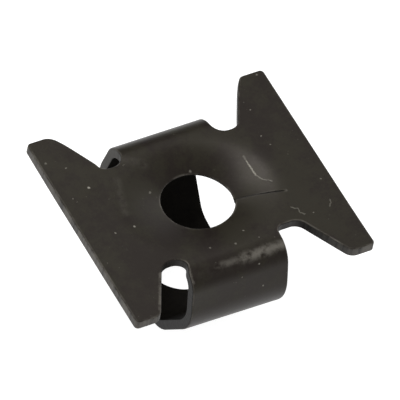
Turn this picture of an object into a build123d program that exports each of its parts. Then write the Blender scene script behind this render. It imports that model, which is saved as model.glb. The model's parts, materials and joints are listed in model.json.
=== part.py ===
from build123d import *
import os
from math import atan2, cos, degrees, hypot, radians, sin, tan

# Front-mounted sheet speed nut, folded from one blank of spring steel.
# The plate's underside, which lies on the panel, is Z = 0. The screw goes down the Z axis,
# through the dished thread in the plate and on between the legs at the front and back (Y).

# Plate and ears
sheet = 0.7
plate_width = 18.0
plate_depth = 16.0
ear_tip_width = 1.8
ear_inner_radius = 0.85
ear_outer_radius = 0.3

# Slots that free the legs from the ears
slot_root_depth = 0.5
slot_root_width = 1.7
slot_leg_radius = 0.45
slot_ear_radius = 0.95

# Legs, measured to the outer face of the sheet
leg_width = 6.9
fold_reach = 6.15
fold_radius = 1.8
wall_lean = 13.5
shoulder_drop = 4.25
shoulder_radius = 3.0
foot_reach = 3.9
foot_drop = 8.35
foot_radius = 2.3
leaf_fall = 7.0
leaf_gap = 0.4
leaf_corner_radius = 0.5

# Dished thread: the rim climbs in one turn, from the slit round to the slit
thread_root = 5.1
rim_climb = 0.6
rim_high = 0.55
rim_land = 0.2
dish_reach_x = 5.7
dish_edge_slope = 5.0
slit_angle = -17.0
slit_width = 0.15
dish_sections = 16

# Round opening at the foot, half in each leaf
foot_hole = 3.8

# The leg's outer face runs through these sharp corners, before its bends are rounded
fold_start = fold_reach - fold_radius * tan(radians((90.0 - wall_lean) / 2))
shoulder_reach = fold_reach + shoulder_drop * tan(radians(wall_lean))
leaf_end_drop = foot_drop + (foot_reach - leaf_gap / 2) * tan(radians(leaf_fall))
dish_reach_y = fold_start

# Margins by which cutting shapes pass the metal, and by which joined shapes run into it
clear = 1.0
overlap = 0.3

# How far from a level a corner may lie and still count as on it
level_tolerance = 0.001


class DishSection:
    """The sheet's arc in one radial plane of the dish. It leaves the plate at a gentle
    slope and ends at the rim, whose height follows the thread."""

    def __init__(self, angle):
        outward = (cos(radians(angle)), sin(radians(angle)), 0)
        self.plane = Plane(origin=(0, 0, 0), x_dir=outward, z_dir=(outward[1], -outward[0], 0))
        self.reach = 1 / hypot(outward[0] / dish_reach_x, outward[1] / dish_reach_y)
        turn = (angle - slit_angle) / 360.0
        rim = (thread_root / 2, sheet - rim_high - rim_climb * (1 - turn))
        slope = radians(dish_edge_slope)
        self.out = (cos(slope), sin(slope))
        down = (sin(slope), -cos(slope))
        chord = (rim[0] - self.reach, rim[1] - sheet)
        self.radius = (chord[0] ** 2 + chord[1] ** 2) / (2 * (chord[0] * down[0] + chord[1] * down[1]))
        self.centre = (self.reach + self.radius * down[0], sheet + self.radius * down[1])
        self.edge_angle = 90.0 + dish_edge_slope
        self.rim_angle = degrees(atan2(rim[1] - self.centre[1], rim[0] - self.centre[0]))
        # Here both faces of the sheet have run in past the rim
        self.inner_angle = self.rim_angle + degrees((sheet + overlap) / self.radius)

    def at(self, depth, angle):
        """The point at an angle about the arc's centre, a depth under the top face."""
        arm = self.radius - depth
        return (self.centre[0] + arm * cos(radians(angle)), self.centre[1] + arm * sin(radians(angle)))

    def arc(self, depth, angle):
        """The arc a depth under the top face, from the dish's edge round to an angle."""
        return CenterArc(self.centre, self.radius - depth, self.edge_angle, angle - self.edge_angle)

    def past_edge(self, depth, distance):
        """The point past the dish's edge, straight on along the edge's slope."""
        edge = self.at(depth, self.edge_angle)
        return (edge[0] + distance * self.out[0], edge[1] + distance * self.out[1])


# The sections start on one side of the slit and end on its other side
slit_edge = degrees(slit_width / 4 / dish_reach_x)
section_step = (360.0 - 2 * slit_edge) / (dish_sections - 1)
sections = [DishSection(slit_angle + slit_edge + section_step * i) for i in range(dish_sections)]

def corners_at(sketch, level):
    """The corners that lie at one distance from the X axis, those nearest the Y axis first."""
    on_level = sketch.vertices().filter_by(lambda v: abs(abs(v.Y) - level) < level_tolerance)
    return on_level.sort_by(lambda v: abs(v.X))


# Outline of the plate: an ear at each corner, and a bay between each pair of ears
# whose two deep corners are the slots
bay_half = plate_width / 2 - ear_tip_width
slot_floor = fold_start - slot_root_depth
with BuildSketch(mode=Mode.PRIVATE) as bay:
    with BuildLine():
        Polyline(
            (-bay_half, plate_depth / 2),
            (-leg_width / 2 - slot_root_width, slot_floor),
            (-leg_width / 2, slot_floor),
            (-leg_width / 2, fold_start),
            (leg_width / 2, fold_start),
            (leg_width / 2, slot_floor),
            (leg_width / 2 + slot_root_width, slot_floor),
            (bay_half, plate_depth / 2),
            close=True,
        )
    make_face()

with BuildSketch() as outline:
    Rectangle(plate_width, plate_depth)
    add(bay.sketch, mode=Mode.SUBTRACT)
    add(bay.sketch.mirror(Plane.XZ), mode=Mode.SUBTRACT)
    fillet(corners_at(outline, slot_floor)[:4], slot_leg_radius)
    fillet(corners_at(outline, slot_floor)[-4:], slot_ear_radius)
    fillet(corners_at(outline, plate_depth / 2)[:4], ear_inner_radius)
    fillet(corners_at(outline, plate_depth / 2)[-4:], ear_outer_radius)

# Section of the back leg, from inside the plate round the fold, the shoulder and the foot
with BuildSketch(Plane.YZ) as leg_section:
    with BuildLine():
        FilletPolyline(
            (slot_floor, sheet),
            (fold_reach, sheet),
            (shoulder_reach, sheet - shoulder_drop),
            (foot_reach, sheet - foot_drop),
            (leaf_gap / 2, sheet - leaf_end_drop),
            radius=[fold_radius, shoulder_radius, foot_radius],
        )
        offset(amount=sheet, side=Side.RIGHT)
    make_face()

# Space above the dish, long at the rim
with BuildPart() as dish_space:
    for section in sections:
        inner = section.at(0, section.inner_angle)
        edge = section.past_edge(0, clear)
        with BuildSketch(section.plane):
            with BuildLine():
                section.arc(0, section.inner_angle)
                Polyline(
                    section.at(0, section.edge_angle),
                    edge,
                    (edge[0], sheet + clear),
                    (inner[0], sheet + clear),
                    inner,
                )
            make_face()
    loft()

# Metal of the dish under the middle of the plate, long at the rim and at the edge
with BuildPart() as dish_metal:
    for section in sections:
        inner = section.at(sheet, section.inner_angle)
        edge = section.past_edge(sheet, overlap)
        with BuildSketch(section.plane):
            with BuildLine():
                section.arc(sheet, section.inner_angle)
                Polyline(
                    section.at(sheet, section.edge_angle),
                    edge,
                    (edge[0], sheet / 2),
                    (inner[0], sheet / 2),
                    inner,
                )
            make_face()
    loft()

# Below a narrow land, the rim's end face stands square to the sheet
with BuildPart() as rim_relief:
    for section in sections:
        rim = section.at(0, section.rim_angle)
        under = section.at(sheet + overlap, section.rim_angle)
        with BuildSketch(section.plane):
            with BuildLine():
                Polyline(
                    (rim[0] - overlap, rim[1] - rim_land),
                    (rim[0], rim[1] - rim_land),
                    (under[0], under[1] - rim_land),
                    (under[0], under[1] - rim_land - clear),
                    (rim[0] - overlap, under[1] - rim_land - clear),
                    close=True,
                )
            make_face()
    loft()

with BuildPart() as leg:
    extrude(leg_section.sketch, amount=leg_width / 2, both=True)
    leaf_end = leg.faces().sort_by(Axis.Y)[0]
    fillet(leaf_end.edges().filter_by(Axis.X, reverse=True), leaf_corner_radius)
    with Locations((0, 0, sheet - leaf_end_drop)):
        Cylinder(radius=foot_hole / 2, height=2 * (sheet + clear), mode=Mode.SUBTRACT)

with BuildPart() as speed_nut:
    add(outline.sketch)
    extrude(amount=sheet)
    add(dish_metal.part)
    add(leg.part)
    add(leg.part.mirror(Plane.XZ))
    add(dish_space.part, mode=Mode.SUBTRACT)
    Cylinder(radius=thread_root / 2, height=2 * (rim_high + rim_climb + sheet), mode=Mode.SUBTRACT)
    add(rim_relief.part, mode=Mode.SUBTRACT)
    with BuildSketch(Plane.XY.offset(sheet)):
        with Locations(Rot(0, 0, slit_angle) * Pos(dish_reach_x / 2, 0)):
            Rectangle(dish_reach_x, slit_width)
    extrude(amount=-(rim_high + rim_climb + 2 * sheet), mode=Mode.SUBTRACT)

os.makedirs("parts", exist_ok=True)
speed_nut.part.label = "speed_nut"
export_step(speed_nut.part, "parts/speed_nut.step")
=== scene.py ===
import json
import math

import bpy
import numpy as np
from mathutils import Matrix, Vector


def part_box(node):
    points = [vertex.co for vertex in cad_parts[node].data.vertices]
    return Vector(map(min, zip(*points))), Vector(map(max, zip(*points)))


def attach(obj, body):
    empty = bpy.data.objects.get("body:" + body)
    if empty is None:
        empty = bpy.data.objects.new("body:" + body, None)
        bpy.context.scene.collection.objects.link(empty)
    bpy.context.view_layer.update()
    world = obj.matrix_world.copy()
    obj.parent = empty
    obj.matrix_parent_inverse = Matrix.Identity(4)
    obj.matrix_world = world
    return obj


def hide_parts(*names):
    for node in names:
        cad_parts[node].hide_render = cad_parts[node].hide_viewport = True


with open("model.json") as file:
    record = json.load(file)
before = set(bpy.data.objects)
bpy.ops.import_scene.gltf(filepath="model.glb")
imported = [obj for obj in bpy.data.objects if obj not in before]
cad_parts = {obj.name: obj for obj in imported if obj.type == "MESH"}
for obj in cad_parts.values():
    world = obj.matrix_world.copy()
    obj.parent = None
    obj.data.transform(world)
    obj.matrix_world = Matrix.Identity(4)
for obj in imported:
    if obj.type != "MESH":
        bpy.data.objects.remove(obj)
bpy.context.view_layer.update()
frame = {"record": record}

mm = 0.001
lowest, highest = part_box("speed_nut")
mounts = {m["name"]: m for m in frame["record"]["mounts"]}

# Z = 0 is the panel face under the plate, the screw goes down the Z axis, the legs are at +Y and -Y
nut = dict(
    width=highest.x - lowest.x,
    depth=highest.y - lowest.y,
    sheet=highest.z,
    # ears and the slots beside the legs
    earTip=1.8 * mm,
    earOuterRadius=0.3 * mm,
    slotDepth=0.5 * mm,
    slotWidth=1.7 * mm,
    slotRadius=0.95 * mm,
    # radius of each ear's inner corner, by the signs of its X and Y
    earCorner={(1, 1): 0.5 * mm, (-1, 1): 0.95 * mm, (1, -1): 0.85 * mm, (-1, -1): 0.7 * mm},
    # radius of the slots on the leg's side, left and right: front leg, back leg
    rootRadii={-1: (0.95 * mm, 0.5 * mm), 1: (0.95 * mm, 0.95 * mm)},
    # legs, to the outer face of the sheet
    legWidth=6.9 * mm,
    foldReach=6.15 * mm,
    foldRadius=1.8 * mm,
    wallLean=math.radians(13.5),
    shoulderDrop=4.25 * mm,
    shoulderRadius=3.0 * mm,
    footReach=3.9 * mm,
    footDrop=8.35 * mm,
    footRadius=2.3 * mm,
    leafFall=math.radians(7),
    leafGap=0.4 * mm,
    leafCornerRadius=0.5 * mm,
    footHole=mounts["foot_opening"]["dims"]["r_mm"] * mm,
    # dished thread: its rim is rimHigh below the plate's top on the slit's high side
    rimRadius=mounts["screw_thread"]["dims"]["r_mm"] * mm,
    rimClimb=0.6 * mm,
    rimHigh=0.48 * mm,
    dishReach=5.7 * mm,
    dishEdgeSlope=math.tan(math.radians(5)),
    # how far to each side of the dish's edge its start is rounded
    dishSoftness=0.5 * mm,
    slitAngle=math.radians(-18),
    slitHalf=0.02 * mm,
    # the slit opens over this turn on both its sides, and closes over this share of the rings;
    # the greater the fullness, the blunter its end
    slitEase=math.radians(50),
    slitClose=0.4,
    slitFullness=12,
    # the punch's rolled edge on the outer face, and the smaller one on the inner face
    rolledEdge=0.11 * mm,
    backEdge=0.05 * mm,
    dishRollShare=0.3,
    # how near the rim and the slit an edge has to be for that smaller share of the roll
    rimBand=0.5 * mm,
    slitBand=0.2 * mm,
    slitPast=0.3 * mm,
    # how far from the outline and from its corners the mesh makes room for the rolled edge
    insetBand=0.36 * mm,
    cornerBand=0.6 * mm,
    # half the turn from which a corner of the outline is a sharp one
    sharpTurn=math.radians(15),
    # mesh steps, the small turn at which an ear's side starts and ends, and the numbers of rings
    # and rows
    step=0.22 * mm,
    turnStep=math.radians(8),
    endTurn=math.radians(0.5),
    rings=30,
    ringCrowding=0.4,
    rootRows=10,
    leafRings=8,
    leafRingsReach=2.6 * mm,
    rollRows=5,
    rollHold=0.03 * mm,
)
nut["foldStart"] = nut["foldReach"] - nut["foldRadius"] * math.tan((math.pi / 2 - nut["wallLean"]) / 2)
nut["slotFloor"] = nut["foldStart"] - nut["slotDepth"]

# how this one nut departs from its drawing after the press and the hands it went through
asFound = dict(
    # the hole is a little oval and off its centre, and the dish tilts towards the back
    rimOval=0.06 * mm,
    ovalAngle=math.radians(11),
    rimShift=-0.08 * mm,
    # the rim is drawn in by this much, and a little more at the front
    rimDrawn=0.07 * mm,
    rimFront=0.03 * mm,
    dishTilt=0.1 * mm,
    # the slit's high lip is pressed down again over this share of a turn
    lipDip=0.2 * mm,
    lipSpan=0.17,
    # lift of each ear's tip, by the signs of its X and Y, and the X and Y where it sets in
    earLift={(-1, 1): 0.1 * mm, (-1, -1): 0.03 * mm, (1, -1): 0.09 * mm},
    liftAcross=(3.4 * mm, 5.2 * mm),
    liftRoot=3.0 * mm,
    # how much wider the back ears are on their slot side, and its rise and fall along X and Y
    earWiden={-1: 0.14 * mm, 1: 0.07 * mm},
    widenAcross=((3.6 * mm, 4.8 * mm), (6.2 * mm, 8.2 * mm)),
    widenAlong=((4.2 * mm, 5.0 * mm), (7.0 * mm, 8.0 * mm)),
    # turn about Z of the front and the back leg, their sway along X for each metre down, and
    # the stretch below the top face over which both set in
    legTurn={-1: -0.018, 1: 0.005},
    legSway={-1: -0.010, 1: -0.022},
    bendBelow=(0.7 * mm, 2.7 * mm),
    legMargin=0.3 * mm,
    # the front leg's left edge stands out, its rise and fall along X, and where it sets in
    # past the slot's floor
    edgeOut=0.33 * mm,
    edgeAcross=((1.2 * mm, 3.3 * mm), (3.9 * mm, 4.8 * mm)),
    edgePast=(0.2 * mm, 1.5 * mm),
)


# A rounded path is straight runs joined by tangent arcs: its heading holds along a run and turns
# evenly along an arc, and its place is the sum of small steps along the heading.
def roundedPath(corners, radii, samples=6000):
    corners = np.array(corners, float)
    runs = np.diff(corners, axis=0)
    length = np.hypot(*runs.T)
    heading = np.unwrap(np.arctan2(runs[:, 1], runs[:, 0]))
    turn = np.abs(np.diff(heading))
    radii = np.array(radii, float)
    setback = radii * np.tan(turn / 2)
    straight = length.copy()
    straight[1:] -= setback
    straight[:-1] -= setback
    pieces = np.zeros(2 * len(length) - 1)
    pieces[0::2] = np.maximum(straight, 0)
    pieces[1::2] = radii * turn
    knots = np.concatenate([[0], np.cumsum(pieces)])
    s = np.linspace(0, knots[-1], samples)
    head = np.interp(s, knots, np.repeat(heading, 2))
    middle = (head[1:] + head[:-1]) / 2
    step = np.diff(s)[:, None] * np.stack([np.cos(middle), np.sin(middle)], 1)
    place = corners[0] + np.concatenate([[[0, 0]], np.cumsum(step, axis=0)])
    return dict(s=s, heading=head, place=place, total=knots[-1])


def walk(path, s):
    # place and heading at the arc lengths s, straight on past the path's end
    x = np.interp(s, path["s"], path["place"][:, 0])
    y = np.interp(s, path["s"], path["place"][:, 1])
    heading = np.interp(s, path["s"], path["heading"])
    past = np.maximum(s - path["total"], 0)
    return np.stack([x + past * np.cos(heading), y + past * np.sin(heading)], -1), heading


def evenSteps(path, start, end, count=None):
    # arc lengths from start to end, even in length plus turn, so that bends get more of them
    s = path["s"]
    turned = np.concatenate([[0], np.cumsum(np.abs(np.diff(path["heading"])))])
    measure = s / nut["step"] + turned / nut["turnStep"]
    lo, hi = np.interp([start, end], s, measure)
    count = count or int(math.ceil(hi - lo)) + 1
    steps = np.interp(np.linspace(lo, hi, count), measure, s)
    steps[0], steps[-1] = start, end
    return steps


# Section of a leg, from the start of its fold round the shoulder and the foot to the leaf's end:
# (distance from the screw axis, height over the plate's top face)
shoulderReach = nut["foldReach"] + nut["shoulderDrop"] * math.tan(nut["wallLean"])
leafEnd = nut["leafGap"] / 2
leafEndDrop = nut["footDrop"] + (nut["footReach"] - leafEnd) * math.tan(nut["leafFall"])
legSection = roundedPath(
    [
        (nut["foldStart"], 0),
        (nut["foldReach"], 0),
        (shoulderReach, -nut["shoulderDrop"]),
        (nut["footReach"], -nut["footDrop"]),
        (leafEnd, -leafEndDrop),
    ],
    [nut["foldRadius"], nut["shoulderRadius"], nut["footRadius"]],
)
blankEnd = nut["foldStart"] + legSection["total"]


def smoothStep(x, low, high):
    # 0 below low, 1 above high, and 3t^2 - 2t^3 in between
    t = np.clip((x - low) / (high - low), 0, 1)
    return t * t * (3 - 2 * t)


def hump(x, rise, fall):
    # 0 before the rise, 1 between the rise and the fall, and 0 after it
    return smoothStep(x, *rise) - smoothStep(x, *fall)


def rimReach(angle):
    # radius + oval * cos(2 * (angle - its long axis)) + shift * cos(angle) - drawn + front * sin(angle)
    oval = asFound["rimOval"] * np.cos(2 * (angle - asFound["ovalAngle"]))
    drawn = asFound["rimFront"] * np.sin(angle) - asFound["rimDrawn"]
    return nut["rimRadius"] + oval + asFound["rimShift"] * np.cos(angle) + drawn


def dishDepth(u, v):
    # Depth of the dish: along a radius it starts at the edge slope and grows as a parabola to the
    # rim. The rim's depth lessens evenly in the turn round to the slit's high side, and a sine of
    # the tilt and, near that side, a smooth step of the lip's dip are added.
    angle = np.arctan2(v, u)
    turn = np.mod(angle - nut["slitAngle"], 2 * math.pi) / (2 * math.pi)
    rimDepth = nut["rimHigh"] + nut["rimClimb"] * (1 - turn) + asFound["dishTilt"] * np.sin(angle)
    rimDepth += asFound["lipDip"] * smoothStep(turn, 1 - asFound["lipSpan"], 1)
    reach = 1 / np.hypot(np.cos(angle) / nut["dishReach"], np.sin(angle) / nut["foldStart"])
    span = reach - rimReach(angle)
    within = reach - np.hypot(u, v)
    soft = nut["dishSoftness"]
    within = np.where(np.abs(within) < soft, (within + soft) ** 2 / (4 * soft), np.maximum(within, 0))
    share = within / span
    return nut["dishEdgeSlope"] * within * (1 - share) + rimDepth * share**2


def outerFace(uv):
    # The blank's point (u, v) on the folded sheet's outer face: u runs along X, v follows the
    # section from the plate out along a leg, and the dish sinks it along the section's normal.
    u, v = uv[:, 0], uv[:, 1]
    side = np.where(v < 0, -1.0, 1.0)
    onLeg = np.abs(u) < (nut["legWidth"] + nut["slotWidth"]) / 2
    past = np.where(onLeg, np.abs(v) - nut["foldStart"], 0.0)
    place, heading = walk(legSection, np.maximum(past, 0))
    y = np.where(past > 0, place[:, 0], np.abs(v))
    z = np.where(past > 0, place[:, 1], 0.0)
    heading = np.where(past > 0, heading, 0.0)
    depth = np.where(past < nut["foldRadius"], dishDepth(u, v), 0.0)
    y = side * (y + depth * np.sin(heading))
    z = z - depth * np.cos(heading)
    return handled(u, v, y, z) + [0, 0, nut["sheet"]]


def handled(u, v, y, z):
    # The nut's bends: an ear lifts by the square of its share of the way to its tip, a back ear
    # widens by a hump, a leg turns and sways below the fold, and the front leg's left edge moves
    # out by a hump.
    x = u.copy()
    z = z.copy()
    root = asFound["liftRoot"]
    for (signX, signY), lift in asFound["earLift"].items():
        onEar = smoothStep(signX * u, *asFound["liftAcross"])
        along = np.clip((signY * v - root) / (nut["depth"] / 2 - root), 0, None)
        z += lift * onEar * along**2
    for signX, widen in asFound["earWiden"].items():
        across = hump(signX * u, *asFound["widenAcross"])
        x -= signX * widen * across * hump(v, *asFound["widenAlong"])
    bendStart, _ = asFound["bendBelow"]
    onLeg = np.abs(u) < nut["legWidth"] / 2 + asFound["legMargin"]
    below = smoothStep(-z, *asFound["bendBelow"]) * onLeg
    turned = np.where(v < 0, asFound["legTurn"][-1], asFound["legTurn"][1])
    sway = np.where(v < 0, asFound["legSway"][-1], asFound["legSway"][1])
    y = y + turned * u * below
    x = x - sway * (z + bendStart) * below
    edge = hump(-u, *asFound["edgeAcross"])
    x -= asFound["edgeOut"] * edge * smoothStep(-v - nut["slotFloor"], *asFound["edgePast"])
    return np.stack([x, y, z], 1)


def outerNormal(uv):
    # cross product of the face's slopes along u and along v
    small = 0.002 * mm
    alongU = outerFace(uv + [small, 0]) - outerFace(uv - [small, 0])
    alongV = outerFace(uv + [0, small]) - outerFace(uv - [0, small])
    normal = np.cross(alongU, alongV)
    return normal / np.linalg.norm(normal, axis=1, keepdims=True)


def ruled(first, last, shares):
    # grid between two curves: each row is first + share * (last - first)
    return first[None] + np.asarray(shares)[:, None, None] * (last - first)[None]


def gridFaces(rows, columns):
    # corners of each cell of a grid: its place, the next in the row, and the same two one row on
    at = np.arange(rows * columns).reshape(rows, columns)
    return np.stack([at[:-1, :-1], at[:-1, 1:], at[1:, 1:], at[1:, :-1]], -1).reshape(-1, 4)


def earPatch(cornerRadius):
    # An ear ruled from its slot side across to the plate's side, for the corner at +X +Y. The
    # slot side starts and ends where its path has turned by a small angle out of and back into
    # the straight runs.
    half, floor, tip = nut["width"] / 2, nut["slotFloor"], nut["depth"] / 2
    legHalf, radius, outer = nut["legWidth"] / 2, nut["slotRadius"], nut["earOuterRadius"]
    slotSide = roundedPath(
        [
            (legHalf + radius, floor),
            (legHalf + nut["slotWidth"], floor),
            (half - nut["earTip"], tip),
            (half - outer, tip),
        ],
        [radius, cornerRadius],
    )
    middle = len(slotSide["s"]) // 2
    floorRun = np.interp(nut["endTurn"], slotSide["heading"][:middle], slotSide["s"][:middle])
    floorEnd = walk(slotSide, floorRun)[0][0]
    tipRun = np.interp(-nut["endTurn"], -slotSide["heading"][middle:], slotSide["s"][middle:])
    inner = walk(slotSide, evenSteps(slotSide, floorRun, tipRun))[0]
    inner[0] = (floorEnd, floor)
    inner[-1, 1] = tip
    plateSide = roundedPath([(half, floor), (half, tip), (half - 2 * outer, tip)], [outer])
    outline = walk(plateSide, evenSteps(plateSide, 0, plateSide["total"] - outer, len(inner)))[0]
    outline[-1, 1] = tip
    across = np.linspace(0, 1, int((half - floorEnd) / nut["step"]) + 1)
    return ruled(inner, outline, across).transpose(1, 0, 2)


def legPatch(leftRadius, rightRadius, plainEnd):
    # the back leg's root narrows round the slots' arcs, and then the leg is straight
    legHalf, floor = nut["legWidth"] / 2, nut["slotFloor"]
    turn = np.linspace(0, math.pi / 2, nut["rootRows"])
    along = evenSteps(legSection, floor + nut["slotRadius"] - nut["foldStart"], plainEnd)[1:]
    straight = np.stack([np.full(len(along), legHalf), nut["foldStart"] + along], 1)

    def side(radius):
        root = np.stack([legHalf + radius * (1 - np.sin(turn)), floor + radius * (1 - np.cos(turn))], 1)
        return np.concatenate([root, straight])

    columns = int(2 * (legHalf + nut["slotRadius"]) / nut["step"]) + 1
    return ruled(side(leftRadius) * [-1, 1], side(rightRadius), np.linspace(0, 1, columns)).transpose(1, 0, 2)


def blankPatches():
    # the flat blank as ruled grids that share their border points
    half, floor, legHalf = nut["width"] / 2, nut["slotFloor"], nut["legWidth"] / 2
    ears = {corner: earPatch(radius) for corner, radius in nut["earCorner"].items()}
    plainEnd = legSection["total"] - (nut["leafRingsReach"] - leafEnd) / math.cos(nut["leafFall"])
    legs = {side: legPatch(*radii, plainEnd) for side, radii in nut["rootRadii"].items()}
    legEnd = legs[1][-1]
    legColumns = len(legEnd)

    # the leaf's end is ruled from the half hole out to the leaf's outline, which starts a little
    # before the corner's arc
    plainY = leafEnd + (blankEnd - legEnd[0, 1]) * math.cos(nut["leafFall"])
    corner = nut["leafCornerRadius"]
    beforeArc = legHalf - 1.3 * corner
    outline = roundedPath([(beforeArc, leafEnd), (legHalf, leafEnd), (legHalf, plainY)], [corner])
    right = walk(outline, evenSteps(outline, 0, outline["total"]))[0]
    right[-1] = (legHalf, plainY)
    top = np.stack([np.linspace(legHalf, -legHalf, legColumns), np.full(legColumns, plainY)], 1)
    leafOuter = np.concatenate([right, top[1:-1], right[::-1] * [-1, 1]])
    walked = np.concatenate([[0], np.cumsum(np.linalg.norm(np.diff(leafOuter, axis=0), axis=1))])
    firstSwing = math.asin(leafEnd / nut["footHole"])
    swing = firstSwing + walked / walked[-1] * (math.pi - 2 * firstSwing)
    leafInner = nut["footHole"] * np.stack([np.cos(swing), np.sin(swing)], 1)
    leaf = ruled(leafInner, leafOuter, np.linspace(0, 1, nut["leafRings"]))
    leaf[..., 1] = blankEnd - (leaf[..., 1] - leafEnd) / math.cos(nut["leafFall"])

    # the dish is ruled from the rim out to the plate's middle rectangle, round from slit to slit
    slitY = half * math.tan(nut["slitAngle"])

    def line(a, b, steps):
        return np.linspace(a, b, max(int(steps), 1) + 1)[:-1]

    def run(length):
        return math.ceil(length / nut["step"])

    earRow = ears[(1, 1)][0]

    def borderRow(legRow):
        # the back border from right to left: ear, slot floor, leg, slot floor, ear
        return np.concatenate([
            earRow[::-1][:-1], line(earRow[0], legRow[-1], 2), legRow[::-1][:-1],
            line(legRow[0], earRow[0] * [-1, 1], 2), earRow[:-1] * [-1, 1],
        ])

    rim = np.concatenate([
        line((half, slitY), (half, floor), run(floor - slitY)),
        borderRow(legs[1][0]),
        line((-half, floor), (-half, -floor), run(2 * floor)),
        borderRow((legs[-1][0] * [-1, 1])[::-1]) * -1,
        line((half, -floor), (half, slitY), run(floor + slitY)),
        [(half, slitY)],
    ])
    turned = np.unwrap(np.arctan2(rim[:, 1], rim[:, 0]))
    rows = np.linspace(0, 1, nut["rings"])
    rows = (1 - nut["ringCrowding"]) * rows + nut["ringCrowding"] * rows**2
    circle = rimReach(turned)[:, None] * np.stack([np.cos(turned), np.sin(turned)], 1)
    dish = ruled(circle, rim, rows)
    # open the slit: the grid's two ends draw apart, and less so away from the slit
    away = turned - turned[0]
    reach = np.linalg.norm(dish, axis=-1)
    openBy = np.sqrt(np.clip(1 - (reach / nut["dishReach"]) ** nut["slitFullness"], 0, 1))
    openBy *= nut["slitHalf"] * smoothStep(1 - rows, 0, nut["slitClose"])[:, None]
    ease = nut["slitEase"]
    push = np.clip(1 - away / ease, 0, 1) - np.clip(1 - (away[-1] - away) / ease, 0, 1)
    sideways = np.stack([-np.sin(turned), np.cos(turned)], 1)
    dish = dish + (openBy * push[None])[..., None] * sideways[None]

    patches = [dish]
    patches += [ear * corner for corner, ear in ears.items()]
    patches += [leg * (1, side) for side, leg in legs.items()]
    patches += [leaf * (1, side) for side in (1, -1)]
    return patches


def flatBlank():
    # One flat mesh of all patches: border points are merged, faces all turn anticlockwise. The
    # rounding is set off by a fraction of its step, so that no drawn size falls on its border.
    mergeStep, setOff = 0.001 * mm, 0.237
    points, faces, start = [], [], 0
    for grid in blankPatches():
        rows, columns = grid.shape[:2]
        points.append(grid.reshape(-1, 2))
        faces.append(gridFaces(rows, columns) + start)
        start += rows * columns
    points, faces = np.concatenate(points), np.concatenate(faces)
    keys = np.round(points / mergeStep + setOff).astype(np.int64)
    _, first, where = np.unique(keys, axis=0, return_index=True, return_inverse=True)
    points, faces = points[first], where.reshape(-1)[faces]
    a, b, c, d = (points[faces[:, i]] for i in range(4))
    area = np.cross(c - a, d - b)
    faces[area < 0] = faces[area < 0][:, ::-1]
    return points, faces


def outlineEdges(faces):
    # edges that only one face uses, each with the face on its left
    edges = np.concatenate([faces[:, [i, (i + 1) % 4]] for i in range(4)])
    edges = edges[edges[:, 0] != edges[:, 1]]
    key = np.sort(edges, axis=1)
    _, where, count = np.unique(key, axis=0, return_inverse=True, return_counts=True)
    return edges[count[where.reshape(-1)] == 1]


def nearestCut(points, starts, ends):
    # nearest place on the outline's straight pieces to every point, a few hundred at a time: the
    # share of each piece at the foot of the perpendicular, kept between the piece's two ends
    run = ends - starts
    best = np.empty_like(points)
    batch = 400
    for i in range(0, len(points), batch):
        some = points[i : i + batch, None]
        share = ((some - starts) * run).sum(-1) / (run**2).sum(-1)
        place = starts + np.clip(share, 0, 1)[..., None] * run
        closest = ((some - place) ** 2).sum(-1).argmin(1)
        best[i : i + batch] = place[np.arange(len(closest)), closest]
    return best


def rollShare(uv):
    # share of the full rolled edge at a place on the outline: less at the rim and along the slit
    radius = np.hypot(uv[:, 0], uv[:, 1])
    fromSlit = np.abs(uv[:, 1] * math.cos(nut["slitAngle"]) - uv[:, 0] * math.sin(nut["slitAngle"]))
    onSlit = (fromSlit < nut["slitBand"]) & (uv[:, 0] > 0) & (radius < nut["dishReach"] + nut["slitPast"])
    onRim = radius < nut["rimRadius"] + nut["rimBand"]
    return np.where(onSlit | onRim, nut["dishRollShare"], 1.0)


def cornerShift(places, corners, spread):
    # Near a sharp corner the drawn-in outline is shorter, so its places move along it away from
    # the corner, by the tangent of half the turn at the corner and evenly less further on.
    shift = np.zeros_like(places)
    for corner, amount in zip(corners, spread):
        away = places - corner
        distance = np.linalg.norm(away, axis=1, keepdims=True)
        share = np.clip(1 - distance / nut["cornerBand"], 0, 1)
        shift += amount * share * away / np.maximum(distance, 1e-9)
    return shift


def inwardWays(points, edges):
    # The outline's points and the inward direction at each: the mean of its two edges' left sides,
    # lengthened at a corner so that both edges move in by the same amount. A corner is sharp where
    # the outline turns left by more than twice the sharp half turn.
    along = points[edges[:, 1]] - points[edges[:, 0]]
    along /= np.linalg.norm(along, axis=1, keepdims=True)
    left = np.stack([-along[:, 1], along[:, 0]], 1)
    inward, heading = np.zeros_like(points), np.zeros_like(points)
    np.add.at(inward, edges[:, 0], left)
    np.add.at(inward, edges[:, 1], left)
    np.add.at(heading, edges[:, 1], along)
    np.add.at(heading, edges[:, 0], -along)
    onOutline = np.unique(edges)
    size = np.linalg.norm(inward[onOutline], axis=1, keepdims=True)
    leftTurn = -(heading * inward).sum(1)[onOutline]
    halfTurn = np.arccos(np.clip(size[:, 0] / 2, 0, 1))
    leastSize = 1.1  # of the two sides' sum, below which a corner is lengthened no further
    sharp = (halfTurn > nut["sharpTurn"]) & (leftTurn > 0) & (size[:, 0] > leastSize)
    inward[onOutline] *= 2 / np.maximum(size, leastSize) ** 2
    corners, spread = points[onOutline[sharp]], np.tan(halfTurn[sharp])
    plain = onOutline[~sharp]
    inward[plain] += cornerShift(points[plain], corners, spread)
    return onOutline, inward, corners, spread


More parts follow.
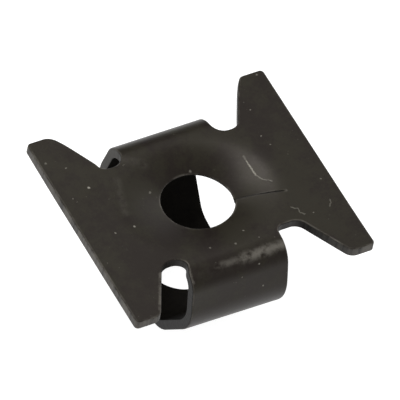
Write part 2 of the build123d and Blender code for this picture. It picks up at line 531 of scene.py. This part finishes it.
def edgeProfile():
    # The cut edge's profile from the outer to the inner face, carried along the outline: (distance
    # in from the cut, depth). Each roll is a quarter circle between two short straight holds.
    sheet, roll, back, hold = nut["sheet"], nut["rolledEdge"], nut["backEdge"], nut["rollHold"]
    arc = np.linspace(0, math.pi / 2, nut["rollRows"])
    top = np.stack([roll * (1 - np.sin(arc)), roll * (1 - np.cos(arc))], 1)
    bottom = np.stack([back * (1 - np.cos(arc)), sheet - back * (1 - np.sin(arc))], 1)
    return np.concatenate([
        [(roll + hold, 0)], top, [(0, roll + hold)], [(0, sheet / 2)],
        [(0, sheet - back - hold)], bottom, [(back + hold, sheet)],
    ])


def buildNut():
    # The blank's points carried onto the folded sheet, for both faces and for the levels of the
    # cut edge's profile in between: place = outer face's point - depth * outer face's normal.
    points, faces = flatBlank()
    edges = outlineEdges(faces)
    onOutline, inward, corners, spread = inwardWays(points, edges)
    profile = edgeProfile()
    sheet = nut["sheet"]
    levels, count, outlineCount = len(profile), len(points), len(onOutline)
    ringOf = np.full(count, -1)
    ringOf[onOutline] = np.arange(outlineCount)

    # face points near the outline make room: distance d becomes inset + d * (1 - inset / band)
    nearest = nearestCut(points, points[edges[:, 0]], points[edges[:, 1]])
    away = points - nearest
    distance = np.linalg.norm(away, axis=1)
    distance[onOutline] = 0
    fromEdge = away / np.maximum(distance, 1e-9)[:, None] + cornerShift(nearest, corners, spread)
    direction = np.where(ringOf[:, None] >= 0, inward, fromEdge)
    share = rollShare(nearest)

    def room(inset):
        return inset * share * np.clip(1 - distance / nut["insetBand"], 0, 1)

    insets = profile[[0, -1], 0]
    faceUv = [points + direction * room(inset)[:, None] for inset in insets]
    outlineShare = share[onOutline]
    ringIn = profile[1:-1, :1] * outlineShare
    ringUv = points[onOutline][None] + inward[onOutline][None] * ringIn[..., None]
    blank = np.concatenate(faceUv + [ringUv.reshape(-1, 2)])
    # the rolls' depths shrink towards the face that each belongs to
    depths = profile[1:-1, 1][:, None]
    upper = depths * outlineShare
    lower = sheet - (sheet - depths) * outlineShare
    ringDepth = np.where(depths < sheet / 2, upper, np.where(depths > sheet / 2, lower, sheet / 2))
    depth = np.concatenate([np.zeros(count), np.full(count, sheet), ringDepth.ravel()])
    place = outerFace(blank) - depth[:, None] * outerNormal(blank)

    # vertex numbers of each level of the profile, along the outline
    level = [onOutline] + [2 * count + i * outlineCount + np.arange(outlineCount) for i in range(levels - 2)]
    level = np.array(level + [count + onOutline])
    a, b = ringOf[edges[:, 0]], ringOf[edges[:, 1]]
    strips = [np.stack([level[i][b], level[i][a], level[i + 1][a], level[i + 1][b]], 1)
              for i in range(levels - 1)]
    allFaces = np.concatenate([faces, faces[:, ::-1] + count] + strips)
    # slots: 0 outer face and its first strips, 1 the sheared cut, 2 inner face and its last strips
    outerStrips, innerStrips = 3, 2
    finish = np.zeros(len(allFaces), np.int32)
    cutStart, perStrip = 2 * len(faces), len(edges)
    finish[len(faces) : cutStart] = 2
    finish[cutStart + outerStrips * perStrip :] = 1
    finish[cutStart + (levels - 1 - innerStrips) * perStrip :] = 2

    mesh = bpy.data.meshes.new("speedNutSheet")
    mesh.from_pydata(place.tolist(), [], allFaces.tolist())
    mesh.polygons.foreach_set("material_index", finish)
    # distance of every point from the nearest cut, in mm, for the wear along the edges
    fromCut = [distance + room(inset) for inset in insets] + [np.repeat(profile[1:-1, 0], outlineCount)]
    wear = mesh.attributes.new("edgeDistance", "FLOAT", "POINT")
    wear.data.foreach_set("value", np.concatenate(fromCut) / mm)
    # every point's place on the flat blank and its depth, for the marks
    flat = mesh.attributes.new("blank", "FLOAT_VECTOR", "POINT")
    flat.data.foreach_set("vector", np.column_stack([blank, depth]).astype(np.float32).ravel())
    mesh.validate()
    mesh.shade_smooth()
    mesh.update()
    made = bpy.data.objects.new("speedNutSheet", mesh)
    bpy.context.scene.collection.objects.link(made)
    print("nut:", len(place), "points,", len(allFaces), "faces,", outlineCount, "outline points")
    return made


speedNut = buildNut()
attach(speedNut, "root")
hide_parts("speed_nut")


# One output socket of a material's nodes. Sums and products of these add Math nodes, and make()
# adds any other node from its type, its settings and the values or links of its sockets.
class Wire:
    def __init__(self, tree, socket=None):
        self.tree = tree
        self.socket = socket

    def make(self, kind, settings=None, sockets=None, out=0):
        made = self.tree.nodes.new(kind)
        for name, value in (settings or {}).items():
            setattr(made, name, value)
        for name, value in (sockets or {}).items():
            if isinstance(value, Wire):
                self.tree.links.new(value.socket, made.inputs[name])
            else:
                made.inputs[name].default_value = value
        return Wire(self.tree, made.outputs[out]) if len(made.outputs) else None

    def maths(self, operation, *values, clamp=False):
        settings = {"operation": operation, "use_clamp": clamp}
        return self.make("ShaderNodeMath", settings, dict(enumerate(values)))

    def vector(self, operation, *values, out=0):
        return self.make("ShaderNodeVectorMath", {"operation": operation}, dict(enumerate(values)), out)

    def __add__(self, other):
        return self.maths("ADD", self, other)

    def __radd__(self, other):
        return self.maths("ADD", other, self)

    def __sub__(self, other):
        return self.maths("SUBTRACT", self, other)

    def __rsub__(self, other):
        return self.maths("SUBTRACT", other, self)

    def __mul__(self, other):
        return self.maths("MULTIPLY", self, other)

    def __rmul__(self, other):
        return self.maths("MULTIPLY", other, self)

    def between(self, low, high):
        # 0 below low, 1 above high, and smooth in between
        sockets = {"Value": self, "From Min": low, "From Max": high}
        return self.make("ShaderNodeMapRange", {"interpolation_type": "SMOOTHSTEP"}, sockets)

    def mix(self, first, second):
        # first colour where this is 0, second where it is 1
        settings = {"data_type": "RGBA", "blend_type": "MIX"}
        return self.make("ShaderNodeMix", settings, {0: self, 6: first, 7: second}, 2)

    def noise(self, place, scale, detail=2.0, roughness=0.5):
        sockets = {"Vector": place, "Scale": scale, "Detail": detail, "Roughness": roughness}
        return self.make("ShaderNodeTexNoise", {"noise_dimensions": "3D"}, sockets)

    def patches(self, place, noise, span):
        # a noise that is 0 below the span and 1 above it
        return self.noise(place, *noise).between(*span)


def tinted(level, red, blue):
    # a colour from its brightness and the shares of red and blue against green
    return (level * red, level, level * blue, 1)


oxide = dict(
    brown=tinted(0.0033, 1.9, 0.7),
    olive=tinted(0.0096, 1.2, 0.5),
    # painted shade: a near-black colour along the slit, where the high lip shades the low side
    slitShade=tinted(0.0015, 1.2, 0.8),
    # worn: the bare steel of the scuffs and edge rubs, which the painted highlights and the painted light on
    # the front bend use too
    worn=tinted(0.115, 1.08, 0.86),
    speck=tinted(0.28, 1.05, 0.85),
    roughness=0.4,
    roughnessSpread=0.1,
    specular=0.25,
    specularTint=(1.0, 0.93, 0.84, 1),
    # noises, each a scale, a detail and a roughness, and their shares in the mottled tone
    broad=(230.0, 3.0, 0.6),
    mottle=(800.0, 4.0, 0.6),
    grain=(5200.0, 3.0, 0.6),
    broadShare=0.45,
    mottleShare=0.35,
    grainShare=0.2,
    toneSpan=(0.43, 0.57),
    # patches: a noise, and the span of it over which they set in
    scuffAndHighlightPatches=((1500.0, 4.0, 0.65), (0.3, 0.62)),
    dustPatches=((3300.0, 3.0, 0.6), (0.7, 0.76)),
    dustStrength=0.14,
    # the rub along the cut edges, its width in mm
    rubPatches=((700.0, 4.0, 0.65), (0.4, 0.62)),
    rubWidth=0.16,
    rubStrength=0.75,
    # heights in the bump
    grainHeight=0.6,
    mottleHeight=2.0,
    markDepth=1.5,
    bumpStrength=0.3,
    bumpDistance=0.02 * mm,
)

# Marks on the outer face, in mm on the flat blank: (u, v) as for the outline above.
# Scratches are polylines (points, half width, strength), specks are (u, v, radius, strength).
marks = dict(
    scratches=[
        ([(4.28, 1.9), (4.3, 1.5)], 0.06, 0.22),
        ([(4.3, 1.5), (4.33, 0.95), (4.37, 0.25)], 0.05, 0.75),
        ([(4.37, 0.25), (4.6, -0.3), (5.05, -0.7)], 0.03, 0.4),
        ([(5.15, -3.2), (5.55, -3.45), (5.5, -3.8), (5.75, -4.05)], 0.03, 0.3),
        ([(7.95, -3.55), (7.85, -3.85), (7.65, -4.05)], 0.035, 0.25),
    ],
    specks=[
        (-6.75, 3.25, 0.1, 0.9), (-2.85, 1.7, 0.11, 0.35), (-6.85, -0.8, 0.06, 0.6),
        (-5.4, -0.75, 0.08, 0.8), (-7.45, 5.25, 0.06, 0.5), (-8.5, 6.1, 0.1, 0.3),
        (-8.15, 2.8, 0.05, 0.4), (8.4, 7.7, 0.08, 0.4), (6.6, 5.15, 0.06, 0.5),
        (6.15, 2.9, 0.07, 0.5), (6.4, 2.05, 0.05, 0.4), (1.95, -4.65, 0.05, 0.5),
        (0.25, -4.5, 0.07, 0.4), (-1.5, -4.2, 0.07, 0.4), (1.3, -3.65, 0.05, 0.5),
        (1.25, -6.4, 0.07, 0.7), (1.55, -8.25, 0.07, 0.8), (-0.1, -6.95, 0.05, 0.4),
        (6.35, -4.15, 0.05, 0.5), (8.2, -1.8, 0.05, 0.4), (0.7, 2.55, 0.09, 0.4),
    ],
    # rubbed bands and painted highlights: from, to, half width, strength
    scuffsAndHighlights=[
        ((0.3, -5.7), (2.2, -5.65), 0.6, 1.0),
        ((2.2, -5.65), (3.3, -5.65), 0.55, 0.9),
        ((-1.6, -5.65), (0.3, -5.7), 0.4, 0.6),
        # painted highlight: the light on the front leg's left outer corner
        ((-3.42, -5.3), (-3.36, -6.2), 0.2, 0.9),
        # painted highlight: the light along the front-left ear's rolled slot edge
        ((-5.62, -4.95), (-7.0, -7.5), 0.22, 0.8),
        # painted light: a wide soft lightening of the front bend where it falls into shade
        ((-3.2, -5.8), (2.8, -5.8), 0.9, 0.08),
        ((-4.7, 3.1), (-5.4, 0.5), 0.45, 0.16),
        ((-3.6, 4.7), (-2.4, 3.7), 0.6, 0.14),
    ],
    # shares of a scratch's half width and of a speck's radius that are at full strength
    scratchCore=0.4,
    speckCore=0.3,
    soft=0.03,
    # the noise that makes all marks wobble, and by how much
    warpScale=7.0,
    warp=0.16,
    # painted shade along the slit, where the high lip's step shades the low side: its width at the rim and
    # its softness, the span on the high lip over which it sets in, the span from the screw's axis likewise,
    # and where it ends before the slit
    slitShadeWidth=0.22,
    slitShadeSoft=0.06,
    slitShadeLip=(-0.16, -0.08),
    slitShadeStart=(1.5, 2.0),
    slitShadeEnd=0.4,
)


def fromSegment(place, start, end):
    # distance of a place from the straight piece between two points of the blank, in mm
    first, run = Vector((*start, 0)), Vector((*end, 0)) - Vector((*start, 0))
    arm = place.vector("SUBTRACT", place, tuple(first))
    share = place.vector("DOT_PRODUCT", arm, tuple(run / run.length_squared), out=1)
    share = share.maths("ADD", share, 0.0, clamp=True)
    along = place.make("ShaderNodeVectorMath", {"operation": "SCALE"}, {0: tuple(run), "Scale": share})
    return place.vector("LENGTH", place.vector("SUBTRACT", arm, along), out=1)


def markMasks(start, blank):
    # one mask of scratches and specks, and one of the wide scuffs and painted highlights, each from 0 to 1
    inMm = start.make("ShaderNodeVectorMath", {"operation": "SCALE"}, {0: blank, "Scale": 1 / mm})
    wobble = {"Vector": inMm, "Scale": marks["warpScale"], "Detail": 2.0}
    shift = start.make("ShaderNodeTexNoise", None, wobble, 1)
    shift = start.vector("SUBTRACT", shift, (0.5, 0.5, 0.5))
    shift = start.make("ShaderNodeVectorMath", {"operation": "SCALE"}, {0: shift, "Scale": marks["warp"]})
    place = start.vector("ADD", inMm, shift)
    soft = marks["soft"]
    fine, wide = None, None
    for points, half, strength in marks["scratches"]:
        for first, last in zip(points, points[1:]):
            away = fromSegment(place, first, last)
            mask = (1 - away.between(half * marks["scratchCore"], half + soft)) * strength
            fine = mask if fine is None else fine.maths("MAXIMUM", fine, mask)
    for u, v, radius, strength in marks["specks"]:
        away = start.vector("LENGTH", start.vector("SUBTRACT", place, (u, v, 0.0)), out=1)
        mask = (1 - away.between(radius * marks["speckCore"], radius + soft)) * strength
        fine = fine.maths("MAXIMUM", fine, mask)
    for first, last, half, strength in marks["scuffsAndHighlights"]:
        mask = (1 - fromSegment(place, first, last).between(0.0, half)) * strength
        wide = mask if wide is None else wide.maths("MAXIMUM", wide, mask)
    return fine, wide


def paintedSlitShade(start, blank):
    # painted shade along the slit, on the high lip's edge and in a wedge on the low side, which narrows
    # evenly from the rim to the slit's end
    cosine, sine = math.cos(nut["slitAngle"]), math.sin(nut["slitAngle"])
    along = start.vector("DOT_PRODUCT", blank, (cosine / mm, sine / mm, 0.0), out=1)
    across = start.vector("DOT_PRODUCT", blank, (-sine / mm, cosine / mm, 0.0), out=1)
    rimAt, endAt = nut["rimRadius"] / mm, nut["dishReach"] / mm
    narrowing = marks["slitShadeWidth"] / (endAt - rimAt)
    wedge = along * -narrowing + narrowing * endAt
    pastWedge = (across - wedge).between(-marks["slitShadeSoft"], marks["slitShadeSoft"])
    onSlit = along.between(*marks["slitShadeStart"]) * (1 - along.between(endAt - marks["slitShadeEnd"], endAt))
    return (1 - pastWedge) * across.between(*marks["slitShadeLip"]) * onSlit


def emptyMaterial(name):
    # a material without nodes, and the wire that its nodes start from
    material = bpy.data.materials.new(name)
    material.use_nodes = True
    material.node_tree.nodes.clear()
    return material, Wire(material.node_tree)


def steelSurface(start, finish, colour, roughness, height):
    # the surface that all three steel finishes share, with a bump from the height
    bump = start.make("ShaderNodeBump", None, {
        "Height": height,
        "Strength": finish["bumpStrength"],
        "Distance": finish["bumpDistance"],
    })
    shader = start.make("ShaderNodeBsdfPrincipled", None, {
        "Base Color": colour,
        "Roughness": roughness,
        "Specular IOR Level": finish["specular"],
        "Specular Tint": finish["specularTint"],
        "Normal": bump,
    })
    start.make("ShaderNodeOutputMaterial", None, {"Surface": shader})


def oxideMaterial():
    # the outer face: mottled brown and olive oxide, rubbed along its edges and on its bends, with painted
    # highlights and painted light among the scuffs and painted shade along the slit
    material, start = emptyMaterial("oxideSteel")
    place = start.make("ShaderNodeTexCoord", out="Object")
    blank = start.make("ShaderNodeAttribute", {"attribute_name": "blank"}, out="Vector")
    fromCut = start.make("ShaderNodeAttribute", {"attribute_name": "edgeDistance"}, out="Fac")
    broad = start.noise(place, *oxide["broad"])
    mottle = start.noise(place, *oxide["mottle"])
    grain = start.noise(place, *oxide["grain"])
    tone = broad * oxide["broadShare"] + mottle * oxide["mottleShare"] + grain * oxide["grainShare"]
    fine, wide = markMasks(start, blank)
    scuffedAndLit = wide * start.patches(blank, *oxide["scuffAndHighlightPatches"])
    dust = start.patches(place, *oxide["dustPatches"]) * oxide["dustStrength"]
    byEdge = 1 - fromCut.between(0.0, oxide["rubWidth"])
    rubbed = byEdge * start.patches(place, *oxide["rubPatches"]) * oxide["rubStrength"]
    colour = tone.between(*oxide["toneSpan"]).mix(oxide["brown"], oxide["olive"])
    # worn colour from the scuffs and edge rubs, and painted highlights and painted light from the same wide
    # mask
    colour = scuffedAndLit.maths("MAXIMUM", scuffedAndLit, rubbed).mix(colour, oxide["worn"])
    # painted shade along the slit, darkening the high lip's edge and the low side beside it
    colour = paintedSlitShade(start, blank).mix(colour, oxide["slitShade"])
    colour = fine.maths("MAXIMUM", fine, dust).mix(colour, oxide["speck"])
    spread = oxide["roughnessSpread"]
    roughness = grain * spread + mottle * spread + (oxide["roughness"] - spread)
    height = grain * oxide["grainHeight"] + mottle * oxide["mottleHeight"] - fine * oxide["markDepth"]
    steelSurface(start, oxide, colour, roughness, height)
    return material


# painted shade: the inner face's colours are darker than the outer face's, like the shade inside the nut
inside = dict(
    dark=tinted(0.0028, 1.3, 0.7),
    light=tinted(0.005, 1.2, 0.7),
    roughness=0.65,
    roughnessSpread=0.1,
    specular=0.06,
    specularTint=(1, 1, 1, 1),
    grain=(2400.0, 4.0, 0.6),
    toneSpan=(0.35, 0.65),
    bumpStrength=0.3,
    bumpDistance=0.03 * mm,
)


def insideMaterial():
    # painted shade: the inner face is a darker, duller copy of the steel, standing in for the shade inside
    # the nut
    material, start = emptyMaterial("paintedShadeInside")
    place = start.make("ShaderNodeTexCoord", out="Object")
    grain = start.noise(place, *inside["grain"])
    colour = grain.between(*inside["toneSpan"]).mix(inside["dark"], inside["light"])
    roughness = grain * inside["roughnessSpread"] + (inside["roughness"] - inside["roughnessSpread"] / 2)
    steelSurface(start, inside, colour, roughness, grain)
    return material


cut = dict(
    dark=tinted(0.007, 1.15, 0.85),
    light=tinted(0.02, 1.1, 0.85),
    worn=tinted(0.125, 1.08, 0.88),
    # painted shade: a near-black colour for the front leg's cut edges down the leg
    legShade=tinted(0.002, 1.2, 0.8),
    roughness=0.55,
    specular=0.23,
    specularTint=(1, 1, 1, 1),
    # streaks: their noise is drawn out through the sheet's thickness by this scale
    streaks=((6000.0, 3.0, 0.6), (0.35, 0.7)),
    streakScale=0.12,
    # the plate's own edges, from this X on, are handled more than the legs' edges
    plateFrom=(5.5 * mm, 8.5 * mm),
    wornPatches=((1500.0, 4.0, 0.65), (0.3, 0.6)),
    wornStrength=0.95,
    # the legs' edges are the ones within this X: on the blank, the front leg's is darkened by painted shade
    # up to one Y, where it lies in the shade under the plate, and the back leg's is rubbed a little from
    # another Y on
    legWithin=(3.6 * mm, 4.2 * mm),
    legShadeUpTo=(-6.5 * mm, -5.5 * mm),
    legShadeStrength=0.8,
    rubFrom=(5.0 * mm, 5.6 * mm),
    rubStrength=0.3,
    bumpStrength=0.3,
    bumpDistance=0.02 * mm,
)


def cutMaterial():
    # the sheared edge: streaks run through the sheet's thickness
    material, start = emptyMaterial("shearedEdge")
    blank = start.make("ShaderNodeAttribute", {"attribute_name": "blank"}, out="Vector")
    drawnOut = (1.0, 1.0, cut["streakScale"])
    streaks = start.make("ShaderNodeMapping", None, {"Vector": blank, "Scale": drawnOut})
    sideways = start.make("ShaderNodeSeparateXYZ", None, {0: blank}, 0)
    sideways = sideways.maths("ABSOLUTE", sideways)
    endways = start.make("ShaderNodeSeparateXYZ", None, {0: blank}, 1)
    onPlate = sideways.between(*cut["plateFrom"])
    onLeg = 1 - sideways.between(*cut["legWithin"])
    tone = start.patches(streaks, *cut["streaks"])
    handledEdge = onPlate * start.patches(streaks, *cut["wornPatches"]) * cut["wornStrength"]
    # painted shade: the front leg's cut edges darken down the leg, where they lie in the shade under the
    # plate
    paintedLegShade = (1 - endways.between(*cut["legShadeUpTo"])) * onLeg * cut["legShadeStrength"]
    rubbed = endways.between(*cut["rubFrom"]) * onLeg * cut["rubStrength"]
    colour = tone.mix(cut["dark"], cut["light"])
    colour = handledEdge.mix(colour, cut["worn"])
    colour = paintedLegShade.mix(colour, cut["legShade"])
    colour = rubbed.mix(colour, cut["worn"])
    steelSurface(start, cut, colour, cut["roughness"], tone)
    return material


speedNut.data.materials.append(oxideMaterial())
speedNut.data.materials.append(cutMaterial())
speedNut.data.materials.append(insideMaterial())
print("materials done")

studio = dict(
    floorSize=6.0,
    floorColour=0.45,
    floorGlow=0.9,
    # the room is evenly bright, apart from one direction low at the back where it is dim
    dimWay=(0.35, 0.93, 0.1),
    dimSpan=(0.62, 0.97),
    dimLevel=0.12,
    brightLevel=0.68,
    lamps=[
        # name, place, size, strength of light that a plain face turned to it gets
        ("keyLamp", (-0.01, 0.17, 0.38), 0.15, 0.46),
        ("sideLamp", (0.32, 0.20, 0.16), 0.25, 0.12),
    ],
)


def whiteToTheEye(start, plain, glow):
    # camera, glossy and transmission rays see the plain surface plus a glow that takes it to white
    seen = start.make("ShaderNodeLightPath", out="Is Camera Ray")
    seen = seen.maths("MAXIMUM", seen, start.make("ShaderNodeLightPath", out="Is Glossy Ray"))
    seen = seen.maths("MAXIMUM", seen, start.make("ShaderNodeLightPath", out="Is Transmission Ray"))
    shine = start.make("ShaderNodeEmission", None, {"Color": (1, 1, 1, 1), "Strength": seen * glow})
    return start.make("ShaderNodeAddShader", None, {0: plain, 1: shine})


def buildFloor():
    # a square at the height of the nut's feet
    half = studio["floorSize"] / 2
    corners = [(-half, -half), (half, -half), (half, half), (-half, half)]
    mesh = bpy.data.meshes.new("floor")
    mesh.from_pydata([(x, y, lowest.z) for x, y in corners], [], [(0, 1, 2, 3)])
    floor = bpy.data.objects.new("floor", mesh)
    bpy.context.scene.collection.objects.link(floor)
    material, start = emptyMaterial("paleFloor")
    plain = start.make("ShaderNodeBsdfDiffuse", None, {"Color": tinted(studio["floorColour"], 1, 1)})
    surface = whiteToTheEye(start, plain, studio["floorGlow"])
    start.make("ShaderNodeOutputMaterial", None, {"Surface": surface})
    mesh.materials.append(material)


def buildWorld():
    # level by the cosine between a direction and the dim way, eased over the dim span
    world = bpy.data.worlds.new("studioWorld")
    world.use_nodes = True
    world.node_tree.nodes.clear()
    start = Wire(world.node_tree)
    direction = start.make("ShaderNodeTexCoord", out="Generated")
    toDim = start.vector("DOT_PRODUCT", direction, studio["dimWay"], out=1).between(*studio["dimSpan"])
    level = toDim * (studio["dimLevel"] - studio["brightLevel"]) + studio["brightLevel"]
    plain = start.make("ShaderNodeBackground", None, {"Color": (1, 1, 1, 1), "Strength": level})
    start.make("ShaderNodeOutputWorld", None, {"Surface": plain})
    bpy.context.scene.world = world


def buildLamps():
    # square lamps turned to the nut, each of energy level * pi^2 * distance^2
    target = Vector((0, 0, 0))
    for name, place, size, level in studio["lamps"]:
        light = bpy.data.lights.new(name, "AREA")
        light.shape = "SQUARE"
        light.size = size
        distance = (Vector(place) - target).length
        light.energy = level * math.pi**2 * distance**2
        lamp = bpy.data.objects.new(name, light)
        lamp.location = place
        lamp.rotation_mode = "QUATERNION"
        lamp.rotation_quaternion = (target - Vector(place)).to_track_quat("-Z", "Y")
        bpy.context.scene.collection.objects.link(lamp)


buildFloor()
buildWorld()
buildLamps()
print("studio done")

# the photograph's view, found by fitting the plate's outline and the legs to it
shot = dict(
    azimuth=math.radians(-38.2),
    elevation=math.radians(50.67),
    roll=math.radians(13.11),
    distance=26.6 * nut["width"],
    pixelsPerWidth=271.7,
    plateCentre=(200.7, 194.3),
    frameSize=400,
    sensor=36.0,
    # nearest and furthest sight, as shares of the distance
    clipShares=(0.1, 10),
)


def buildCamera():
    # stands back along the sight line, with the plate's centre at its pixel of the frame
    a, e, r = shot["azimuth"], shot["elevation"], shot["roll"]
    back = Vector((math.sin(a) * math.cos(e), -math.cos(a) * math.cos(e), math.sin(e)))
    level = Vector((math.cos(a), math.sin(a), 0))
    rise = back.cross(level)
    right = level * math.cos(r) + rise * math.sin(r)
    up = rise * math.cos(r) - level * math.sin(r)
    perPixel = nut["width"] / shot["pixelsPerWidth"]
    middle = shot["frameSize"] / 2
    aim = Vector((0, 0, nut["sheet"]))
    aim += right * (middle - shot["plateCentre"][0]) * perPixel
    aim += up * (shot["plateCentre"][1] - middle) * perPixel
    data = bpy.data.cameras.new("shotCamera")
    data.sensor_width = shot["sensor"]
    focal = shot["distance"] / perPixel
    data.lens = focal * shot["sensor"] / shot["frameSize"]
    data.clip_start, data.clip_end = (share * shot["distance"] for share in shot["clipShares"])
    camera = bpy.data.objects.new("shotCamera", data)
    camera.matrix_world = Matrix.Translation(aim + back * shot["distance"]) @ Matrix(
        (right, up, back)).transposed().to_4x4()
    bpy.context.scene.collection.objects.link(camera)
    bpy.context.scene.camera = camera


buildCamera()
bpy.context.scene.view_settings.view_transform = "Standard"
print("camera done")
